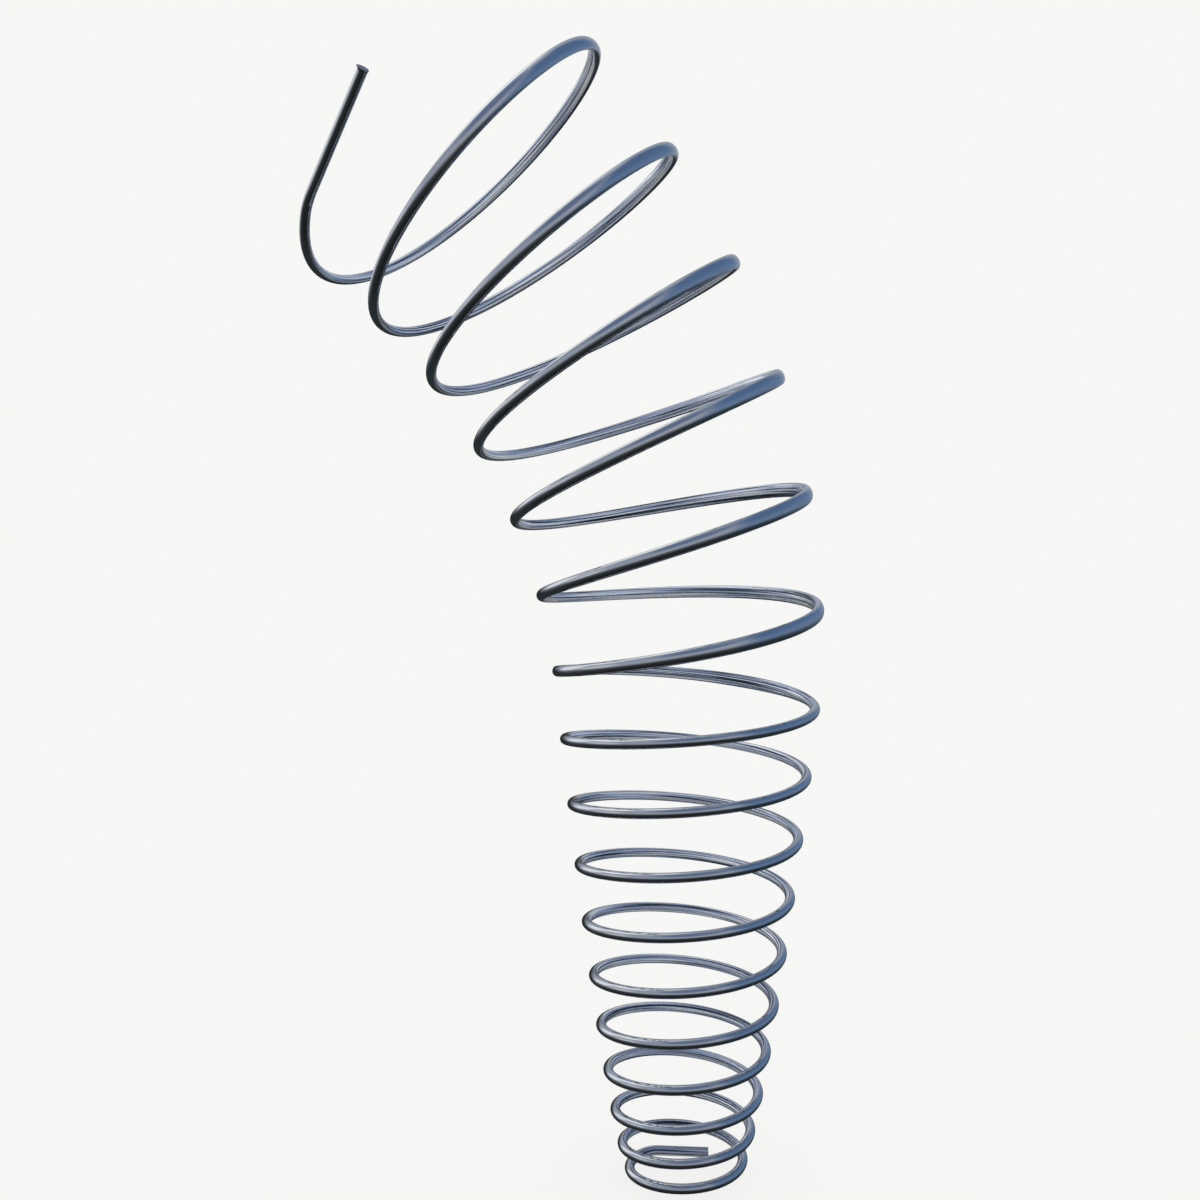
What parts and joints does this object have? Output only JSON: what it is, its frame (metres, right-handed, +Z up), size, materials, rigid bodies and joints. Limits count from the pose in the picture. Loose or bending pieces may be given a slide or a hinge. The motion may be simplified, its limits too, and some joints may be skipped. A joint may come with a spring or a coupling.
{
  "type": "spring coil toy",
  "caption": "Tall conical coil of polished steel wire, narrow at the foot and arched over at the wide top, that stretches, arches and nods.",
  "frame": {"origin": "on the axis of the coil's straight lower part, level with the lowest point of the wire", "axes": "+Z up the straight part of the coil's axis, -X towards the side that the top arches over to, -Y towards the viewer"},
  "size_m": [0.1079, 0.0769, 0.2394],
  "materials": {
    "wire": "bright drawn spring steel, polished"
  },
  "bodies": {
    "base_turns": {"lower_end": "wire", "turn_01_left_front": "wire", "turn_01_right": "wire", "turn_02_left": "wire"},
    "turn_02_right": {"turn_02_right": "wire"},
    "turn_03_left": {"turn_03_left": "wire"},
    "turn_03_right": {"turn_03_right": "wire"},
    "turn_04_left": {"turn_04_left": "wire"},
    "turn_04_right": {"turn_04_right": "wire"},
    "turn_05_left": {"turn_05_left": "wire"},
    "turn_05_right": {"turn_05_right": "wire"},
    "turn_06_left": {"turn_06_left": "wire"},
    "turn_06_right": {"turn_06_right": "wire"},
    "turn_07_left": {"turn_07_left": "wire"},
    "turn_07_right": {"turn_07_right": "wire"},
    "turn_08_left": {"turn_08_left": "wire"},
    "turn_08_right": {"turn_08_right": "wire"},
    "turn_09_left": {"turn_09_left": "wire"},
    "turn_09_right": {"turn_09_right": "wire"},
    "turn_10_left_back": {"turn_10_left_back": "wire"},
    "turn_10_left_front": {"turn_10_left_front": "wire"},
    "turn_10_right_front": {"turn_10_right_front": "wire"},
    "turn_10_right_back": {"turn_10_right_back": "wire"},
    "turn_11_left_back": {"turn_11_left_back": "wire"},
    "turn_11_left_front": {"turn_11_left_front": "wire"},
    "turn_11_right_front": {"turn_11_right_front": "wire"},
    "turn_11_right_back": {"turn_11_right_back": "wire"},
    "turn_12_left_back": {"turn_12_left_back": "wire"},
    "turn_12_left_front": {"turn_12_left_front": "wire"},
    "turn_12_right_front": {"turn_12_right_front": "wire"},
    "turn_12_right_back": {"turn_12_right_back": "wire"},
    "turn_13_left_back": {"turn_13_left_back": "wire"},
    "turn_13_left_front": {"turn_13_left_front": "wire"},
    "turn_13_right_front": {"turn_13_right_front": "wire"},
    "turn_13_right_back": {"turn_13_right_back": "wire"},
    "turn_14_left_back": {"turn_14_left_back": "wire"},
    "turn_14_left_front": {"turn_14_left_front": "wire"},
    "turn_14_right_front": {"turn_14_right_front": "wire"},
    "turn_14_right_back": {"turn_14_right_back": "wire"},
    "turn_15_left_back": {"turn_15_left_back": "wire"},
    "turn_15_left_front": {"turn_15_left_front": "wire"},
    "turn_15_right_front": {"turn_15_right_front": "wire"},
    "turn_15_right_back": {"turn_15_right_back": "wire"},
    "turn_16_left_back": {"turn_16_left_back": "wire"},
    "turn_16_left_front": {"turn_16_left_front": "wire"},
    "turn_16_right_front": {"turn_16_right_front": "wire"},
    "turn_16_right_back": {"turn_16_right_back": "wire"},
    "upper_end": {"upper_end": "wire"}
  },
  "joints": [
    {"name": "stretch", "type": "hinge", "parent": "base_turns", "child": "turn_02_right", "pos_m": [0, -0.01365, 0.00861], "axis": [0.9965, -0.0182, 0.0813], "range_deg": [-1, 1.3], "stiffness_Nm_per_rad": 3.518, "springref_deg": 0.16},
    {"name": "stretch_turn_03_left", "type": "hinge", "parent": "turn_02_right", "child": "turn_03_left", "pos_m": [0, 0.01443, 0.01233], "axis": [-0.9962, 0.0172, 0.0855], "range_deg": [-1.14, 1.47], "stiffness_Nm_per_rad": 3.3267, "springref_deg": 0.18},
    {"name": "stretch_turn_03_right", "type": "hinge", "parent": "turn_03_left", "child": "turn_03_right", "pos_m": [0, -0.01522, 0.01637], "axis": [0.9961, -0.0164, 0.0871], "range_deg": [-1.26, 1.64], "stiffness_Nm_per_rad": 3.1551, "springref_deg": 0.2},
    {"name": "stretch_turn_04_left", "type": "hinge", "parent": "turn_03_right", "child": "turn_04_left", "pos_m": [0, 0.016, 0.0207], "axis": [-0.996, 0.0156, 0.0885], "range_deg": [-1.4, 1.81], "stiffness_Nm_per_rad": 3.0003, "springref_deg": 0.21},
    {"name": "stretch_turn_04_right", "type": "hinge", "parent": "turn_04_left", "child": "turn_04_right", "pos_m": [0, -0.01679, 0.02531], "axis": [0.9958, -0.0148, 0.0898], "range_deg": [-1.53, 1.99], "stiffness_Nm_per_rad": 2.86, "springref_deg": 0.23},
    {"name": "stretch_turn_05_left", "type": "hinge", "parent": "turn_04_right", "child": "turn_05_left", "pos_m": [0, 0.01757, 0.0302], "axis": [-0.9958, 0.0142, 0.0904], "range_deg": [-1.68, 2.17], "stiffness_Nm_per_rad": 2.7323, "springref_deg": 0.25},
    {"name": "stretch_turn_05_right", "type": "hinge", "parent": "turn_05_left", "child": "turn_05_right", "pos_m": [0, -0.01836, 0.03533], "axis": [0.9958, -0.0136, 0.0904], "range_deg": [-1.83, 2.37], "stiffness_Nm_per_rad": 2.6154, "springref_deg": 0.27},
    {"name": "stretch_turn_06_left", "type": "hinge", "parent": "turn_05_right", "child": "turn_06_left", "pos_m": [0, 0.01914, 0.04068], "axis": [-0.9958, 0.013, 0.0905], "range_deg": [-1.99, 2.58], "stiffness_Nm_per_rad": 2.5082, "springref_deg": 0.28},
    {"name": "stretch_turn_06_right", "type": "hinge", "parent": "turn_06_left", "child": "turn_06_right", "pos_m": [0, -0.01993, 0.04625], "axis": [0.9958, -0.0125, 0.0905], "range_deg": [-2.15, 2.79], "stiffness_Nm_per_rad": 2.4094, "springref_deg": 0.3},
    {"name": "stretch_turn_07_left", "type": "hinge", "parent": "turn_06_right", "child": "turn_07_left", "pos_m": [0, 0.02071, 0.05204], "axis": [-0.9959, 0.012, 0.09], "range_deg": [-2.32, 3.01], "stiffness_Nm_per_rad": 2.318, "springref_deg": 0.31},
    {"name": "stretch_turn_07_right", "type": "hinge", "parent": "turn_07_left", "child": "turn_07_right", "pos_m": [0, -0.0215, 0.05801], "axis": [0.996, -0.0116, 0.0891], "range_deg": [-2.5, 3.25], "stiffness_Nm_per_rad": 2.2334, "springref_deg": 0.33},
    {"name": "stretch_turn_08_left", "type": "hinge", "parent": "turn_07_right", "child": "turn_08_left", "pos_m": [0, 0.02228, 0.06413], "axis": [-0.996, 0.0112, 0.0883], "range_deg": [-2.69, 3.49], "stiffness_Nm_per_rad": 2.1547, "springref_deg": 0.34},
    {"name": "stretch_turn_08_right", "type": "hinge", "parent": "turn_08_left", "child": "turn_08_right", "pos_m": [0, -0.02307, 0.07042], "axis": [0.9961, -0.0108, 0.0875], "range_deg": [-2.88, 3.73], "stiffness_Nm_per_rad": 2.0814, "springref_deg": 0.35},
    {"name": "stretch_turn_09_left", "type": "hinge", "parent": "turn_08_right", "child": "turn_09_left", "pos_m": [0, 0.02385, 0.07687], "axis": [-0.9961, 0.0104, 0.0872], "range_deg": [-3.08, 3.99], "stiffness_Nm_per_rad": 2.0129, "springref_deg": 0.36},
    {"name": "stretch_turn_09_right", "type": "hinge", "parent": "turn_09_left", "child": "turn_09_right", "pos_m": [0, -0.02464, 0.08355], "axis": [0.9961, -0.0101, 0.0874], "range_deg": [-3.28, 4.26], "stiffness_Nm_per_rad": 1.9488, "springref_deg": 0.37},
    {"name": "stretch_turn_10_left_back", "type": "hinge", "parent": "turn_09_right", "child": "turn_10_left_back", "pos_m": [0, 0.02542, 0.09045], "axis": [-0.9961, 0.0098, 0.0875], "range_deg": [-3.49, 4.53], "stiffness_Nm_per_rad": 1.8886, "springref_deg": 0.38},
    {"name": "nod", "type": "hinge", "parent": "turn_10_left_back", "child": "turn_10_left_front", "pos_m": [-0.02582, 0, 0.09398], "axis": [1, 0, 0], "range_deg": [-2.2, 2.2], "stiffness_Nm_per_rad": 1.039, "springref_deg": 0},
    {"name": "stretch_turn_10_right_front", "type": "hinge", "parent": "turn_10_left_front", "child": "turn_10_right_front", "pos_m": [0, -0.02621, 0.09757], "axis": [0.9961, -0.0095, 0.0876], "range_deg": [-3.71, 4.81], "stiffness_Nm_per_rad": 1.832, "springref_deg": 0.39},
    {"name": "arch", "type": "hinge", "parent": "turn_10_right_front", "child": "turn_10_right_back", "pos_m": [0.0266, 0, 0.10122], "axis": [-0.0094, -0.9961, -0.0876], "range_deg": [-7, 4.5], "stiffness_Nm_per_rad": 1.0084, "springref_deg": -1.18},
    {"name": "stretch_turn_11_left_back", "type": "hinge", "parent": "turn_10_right_back", "child": "turn_11_left_back", "pos_m": [0, 0.02699, 0.1051], "axis": [-0.996, 0.0092, 0.0893], "range_deg": [-3.93, 5.11], "stiffness_Nm_per_rad": 2.9055, "springref_deg": 0.24},
    {"name": "nod_turn_11_left_front", "type": "hinge", "parent": "turn_11_left_back", "child": "turn_11_left_front", "pos_m": [-0.02747, 0, 0.1083], "axis": [0.9992, 0, 0.0403], "range_deg": [-2.35, 2.35], "stiffness_Nm_per_rad": 1.1934, "springref_deg": -0.01},
    {"name": "stretch_turn_11_right_front", "type": "hinge", "parent": "turn_11_left_front", "child": "turn_11_right_front", "pos_m": [-0.00038, -0.02778, 0.1141], "axis": [0.9827, -0.0089, 0.1851], "range_deg": [-4.16, 5.41], "stiffness_Nm_per_rad": 2.8234, "springref_deg": 0.23},
    {"name": "arch_turn_11_right_back", "type": "hinge", "parent": "turn_11_right_front", "child": "turn_11_right_back", "pos_m": [0.02718, 0, 0.1221], "axis": [0.0056, -0.991, -0.1338], "range_deg": [-7.02, 4.52], "stiffness_Nm_per_rad": 2.4297, "springref_deg": -0.46},
    {"name": "stretch_turn_12_left_back", "type": "hinge", "parent": "turn_11_right_back", "child": "turn_12_left_back", "pos_m": [-0.00145, 0.02856, 0.12407], "axis": [-0.9995, 0.0087, -0.0292], "range_deg": [-4.4, 5.71], "stiffness_Nm_per_rad": 2.7458, "springref_deg": 0.23},
    {"name": "nod_turn_12_left_front", "type": "hinge", "parent": "turn_12_left_back", "child": "turn_12_left_front", "pos_m": [-0.03076, 0, 0.12403], "axis": [0.9848, 0, 0.1738], "range_deg": [-2.49, 2.49], "stiffness_Nm_per_rad": 1.1286, "springref_deg": -0.01},
    {"name": "stretch_turn_12_right_front", "type": "hinge", "parent": "turn_12_left_front", "child": "turn_12_right_front", "pos_m": [-0.00321, -0.02935, 0.13404], "axis": [0.9498, -0.0085, 0.3128], "range_deg": [-4.64, 6.03], "stiffness_Nm_per_rad": 2.6723, "springref_deg": 0.22},
    {"name": "arch_turn_12_right_back", "type": "hinge", "parent": "turn_12_right_front", "child": "turn_12_right_back", "pos_m": [0.02452, 0, 0.14613], "axis": [0.023, -0.9915, -0.1279], "range_deg": [-7.02, 4.52], "stiffness_Nm_per_rad": 2.3014, "springref_deg": -0.42},
    {"name": "stretch_turn_13_left_back", "type": "hinge", "parent": "turn_12_right_back", "child": "turn_13_left_back", "pos_m": [-0.00566, 0.03013, 0.14396], "axis": [-0.986, 0.0082, -0.1667], "range_deg": [-4.89, 6.36], "stiffness_Nm_per_rad": 2.6027, "springref_deg": 0.21},
    {"name": "nod_turn_13_left_front", "type": "hinge", "parent": "turn_13_left_back", "child": "turn_13_left_front", "pos_m": [-0.03622, 0, 0.1396], "axis": [0.9526, 0, 0.3042], "range_deg": [-2.62, 2.62], "stiffness_Nm_per_rad": 1.0706, "springref_deg": -0.01},
    {"name": "stretch_turn_13_right_front", "type": "hinge", "parent": "turn_13_left_front", "child": "turn_13_right_front", "pos_m": [-0.0088, -0.03092, 0.15378], "axis": [0.9009, -0.008, 0.434], "range_deg": [-5.15, 6.69], "stiffness_Nm_per_rad": 2.5366, "springref_deg": 0.19},
    {"name": "arch_turn_13_right_back", "type": "hinge", "parent": "turn_13_right_front", "child": "turn_13_right_back", "pos_m": [0.0185, 0, 0.17014], "axis": [0.039, -0.992, -0.1202], "range_deg": [-7.02, 4.52], "stiffness_Nm_per_rad": 2.186, "springref_deg": -0.35},
    {"name": "stretch_turn_14_left_back", "type": "hinge", "parent": "turn_13_right_back", "child": "turn_14_left_back", "pos_m": [-0.01262, 0.0317, 0.16345], "axis": [-0.9538, 0.0078, -0.3004], "range_deg": [-5.42, 7.04], "stiffness_Nm_per_rad": 2.4738, "springref_deg": 0.18},
    {"name": "nod_turn_14_left_front", "type": "hinge", "parent": "turn_14_left_back", "child": "turn_14_left_front", "pos_m": [-0.04378, 0, 0.15446], "axis": [0.9033, 0, 0.4291], "range_deg": [-2.75, 2.75], "stiffness_Nm_per_rad": 1.0182, "springref_deg": -0.01},
    {"name": "stretch_turn_14_right_front", "type": "hinge", "parent": "turn_14_left_front", "child": "turn_14_right_front", "pos_m": [-0.01714, -0.03249, 0.17297], "axis": [0.8361, -0.0077, 0.5485], "range_deg": [-5.69, 7.39], "stiffness_Nm_per_rad": 2.414, "springref_deg": 0.15},
    {"name": "arch_turn_14_right_back", "type": "hinge", "parent": "turn_14_right_front", "child": "turn_14_right_back", "pos_m": [0.00902, 0, 0.19373], "axis": [0.0539, -0.9923, -0.1117], "range_deg": [-7.02, 4.52], "stiffness_Nm_per_rad": 2.0816, "springref_deg": -0.25},
    {"name": "stretch_turn_15_left_back", "type": "hinge", "parent": "turn_14_right_back", "child": "turn_15_left_back", "pos_m": [-0.02236, 0.03327, 0.18228], "axis": [-0.9039, 0.0075, -0.4276], "range_deg": [-5.96, 7.75], "stiffness_Nm_per_rad": 2.3571, "springref_deg": 0.13},
    {"name": "nod_turn_15_left_front", "type": "hinge", "parent": "turn_15_left_back", "child": "turn_15_left_front", "pos_m": [-0.05342, 0, 0.16845], "axis": [0.8376, 0, 0.5462], "range_deg": [-2.89, 2.89], "stiffness_Nm_per_rad": 0.9707, "springref_deg": -0.01},
    {"name": "stretch_turn_15_right_front", "type": "hinge", "parent": "turn_15_left_front", "child": "turn_15_right_front", "pos_m": [-0.02826, -0.03406, 0.19134], "axis": [0.7565, -0.0073, 0.654], "range_deg": [-6.25, 8.12], "stiffness_Nm_per_rad": 2.3028, "springref_deg": 0.1},
    {"name": "arch_turn_15_right_back", "type": "hinge", "parent": "turn_15_right_front", "child": "turn_15_right_back", "pos_m": [-0.00394, 0, 0.21646], "axis": [0.0674, -0.9925, -0.1015], "range_deg": [-7.02, 4.52], "stiffness_Nm_per_rad": 1.9867, "springref_deg": -0.15},
    {"name": "stretch_turn_16_left_back", "type": "hinge", "parent": "turn_15_right_back", "child": "turn_16_left_back", "pos_m": [-0.03485, 0.03484, 0.20008], "axis": [-0.8373, 0.0071, -0.5466], "range_deg": [-6.54, 8.49], "stiffness_Nm_per_rad": 2.2509, "springref_deg": 0.08},
    {"name": "nod_turn_16_left_front", "type": "hinge", "parent": "turn_16_left_back", "child": "turn_16_left_front", "pos_m": [-0.06506, 0, 0.1813], "axis": [0.7569, 0, 0.6536], "range_deg": [-3.02, 3.02], "stiffness_Nm_per_rad": 0.9275, "springref_deg": -0.02},
    {"name": "stretch_turn_16_right_front", "type": "hinge", "parent": "turn_16_left_front", "child": "turn_16_right_front", "pos_m": [-0.04209, -0.03563, 0.20847], "axis": [0.6636, -0.007, 0.7481], "range_deg": [-6.83, 8.88], "stiffness_Nm_per_rad": 2.2013, "springref_deg": 0.05},
    {"name": "arch_turn_16_right_back", "type": "hinge", "parent": "turn_16_right_front", "child": "turn_16_right_back", "pos_m": [-0.02034, 0, 0.23784], "axis": [0.0792, -0.9928, -0.09], "range_deg": [-7.02, 4.52], "stiffness_Nm_per_rad": 1.9002, "springref_deg": -0.05},
    {"name": "stretch_upper_end", "type": "hinge", "parent": "turn_16_right_back", "child": "upper_end", "pos_m": [-0.04998, 0.03641, 0.21646], "axis": [-0.7553, 0.0068, -0.6553], "range_deg": [-7.14, 9.27], "stiffness_Nm_per_rad": 2.1538, "springref_deg": 0.02}
  ],
  "couplings": [
    {"joint": "stretch_turn_03_left", "follows": "stretch", "ratio": 1.1183},
    {"joint": "stretch_turn_03_right", "follows": "stretch", "ratio": 1.2433},
    {"joint": "stretch_turn_04_left", "follows": "stretch", "ratio": 1.3749},
    {"joint": "stretch_turn_04_right", "follows": "stretch", "ratio": 1.5131},
    {"joint": "stretch_turn_05_left", "follows": "stretch", "ratio": 1.6579},
    {"joint": "stretch_turn_05_right", "follows": "stretch", "ratio": 1.8093},
    {"joint": "stretch_turn_06_left", "follows": "stretch", "ratio": 1.9674},
    {"joint": "stretch_turn_06_right", "follows": "stretch", "ratio": 2.1321},
    {"joint": "stretch_turn_07_left", "follows": "stretch", "ratio": 2.3033},
    {"joint": "stretch_turn_07_right", "follows": "stretch", "ratio": 2.4812},
    {"joint": "stretch_turn_08_left", "follows": "stretch", "ratio": 2.6658},
    {"joint": "stretch_turn_08_right", "follows": "stretch", "ratio": 2.8569},
    {"joint": "stretch_turn_09_left", "follows": "stretch", "ratio": 3.0547},
    {"joint": "stretch_turn_09_right", "follows": "stretch", "ratio": 3.259},
    {"joint": "stretch_turn_10_left_back", "follows": "stretch", "ratio": 3.47},
    {"joint": "stretch_turn_10_right_front", "follows": "stretch", "ratio": 3.6876},
    {"joint": "stretch_turn_11_left_back", "follows": "stretch", "ratio": 3.9118},
    {"joint": "nod_turn_11_left_front", "follows": "nod", "ratio": 1.0608},
    {"joint": "stretch_turn_11_right_front", "follows": "stretch", "ratio": 4.1427},
    {"joint": "arch_turn_11_right_back", "follows": "arch", "ratio": 1},
    {"joint": "stretch_turn_12_left_back", "follows": "stretch", "ratio": 4.3801},
    {"joint": "nod_turn_12_left_front", "follows": "nod", "ratio": 1.1216},
    {"joint": "stretch_turn_12_right_front", "follows": "stretch", "ratio": 4.6242},
    {"joint": "arch_turn_12_right_back", "follows": "arch", "ratio": 1},
    {"joint": "stretch_turn_13_left_back", "follows": "stretch", "ratio": 4.8749},
    {"joint": "nod_turn_13_left_front", "follows": "nod", "ratio": 1.1825},
    {"joint": "stretch_turn_13_right_front", "follows": "stretch", "ratio": 5.1322},
    {"joint": "arch_turn_13_right_back", "follows": "arch", "ratio": 1},
    {"joint": "stretch_turn_14_left_back", "follows": "stretch", "ratio": 5.3961},
    {"joint": "nod_turn_14_left_front", "follows": "nod", "ratio": 1.2433},
    {"joint": "stretch_turn_14_right_front", "follows": "stretch", "ratio": 5.6666},
    {"joint": "arch_turn_14_right_back", "follows": "arch", "ratio": 1},
    {"joint": "stretch_turn_15_left_back", "follows": "stretch", "ratio": 5.9438},
    {"joint": "nod_turn_15_left_front", "follows": "nod", "ratio": 1.3041},
    {"joint": "stretch_turn_15_right_front", "follows": "stretch", "ratio": 6.2276},
    {"joint": "arch_turn_15_right_back", "follows": "arch", "ratio": 1},
    {"joint": "stretch_turn_16_left_back", "follows": "stretch", "ratio": 6.518},
    {"joint": "nod_turn_16_left_front", "follows": "nod", "ratio": 1.3649},
    {"joint": "stretch_turn_16_right_front", "follows": "stretch", "ratio": 6.815},
    {"joint": "arch_turn_16_right_back", "follows": "arch", "ratio": 1},
    {"joint": "stretch_upper_end", "follows": "stretch", "ratio": 7.1186}
  ]
}
